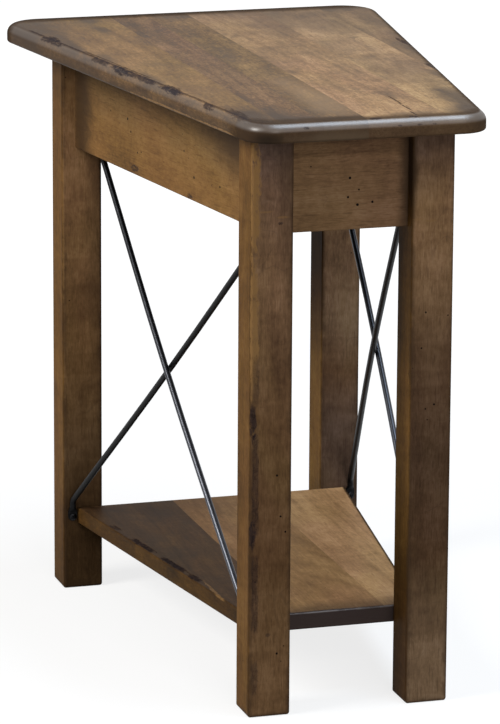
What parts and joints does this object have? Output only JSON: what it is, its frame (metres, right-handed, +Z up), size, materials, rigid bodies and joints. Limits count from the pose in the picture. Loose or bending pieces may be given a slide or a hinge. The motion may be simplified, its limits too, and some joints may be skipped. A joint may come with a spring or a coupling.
{
  "type": "wedge end table",
  "caption": "Wedge-shaped wooden end table with a tapered top, square legs, a low tapered shelf and crossed iron rods on its long sides.",
  "frame": {"origin": "on the floor under the middle of the top", "axes": "+Z up, +Y from the narrow front end to the wide back end, +X to the right seen from the narrow end"},
  "size_m": [0.4155, 0.651, 0.61],
  "materials": {
    "top_wood": "stained brown, satin, burnished dark along the rolled edge",
    "shelf_wood": "stained brown, satin, dark along the front edge",
    "leg_wood": "stained brown, satin, worn edges and worm holes",
    "apron_wood": "stained brown, satin",
    "inner_wood": "bare hardwood, planed",
    "rod_steel": "blackened steel, low sheen",
    "black_screws": "black oxide",
    "plated_screws": "zinc plated"
  },
  "bodies": {
    "root": {"top_board_1": "top_wood", "top_board_2": "top_wood", "top_board_3": "top_wood", "top_board_4": "top_wood", "top_board_5": "top_wood", "top_board_6": "top_wood", "shelf_board_1": "shelf_wood", "shelf_board_2": "shelf_wood", "shelf_board_3": "shelf_wood", "leg_front_left": "leg_wood", "corner_block_front_left": "inner_wood", "top_button_front_left": "inner_wood", "leg_back_left": "leg_wood", "corner_block_back_left": "inner_wood", "top_button_back_left": "inner_wood", "apron_left": "apron_wood", "brace_left_outer": "rod_steel", "brace_left_inner": "rod_steel", "leg_front_right": "leg_wood", "corner_block_front_right": "inner_wood", "top_button_front_right": "inner_wood", "leg_back_right": "leg_wood", "corner_block_back_right": "inner_wood", "top_button_back_right": "inner_wood", "apron_right": "apron_wood", "brace_right_outer": "rod_steel", "brace_right_inner": "rod_steel", "apron_front": "apron_wood", "apron_back": "apron_wood", "brace_screws": "black_screws", "corner_lag_screws": "plated_screws", "corner_apron_screws": "plated_screws", "corner_top_screws": "plated_screws", "button_screws": "plated_screws", "shelf_dowels": "inner_wood"}
  },
  "joints": []
}
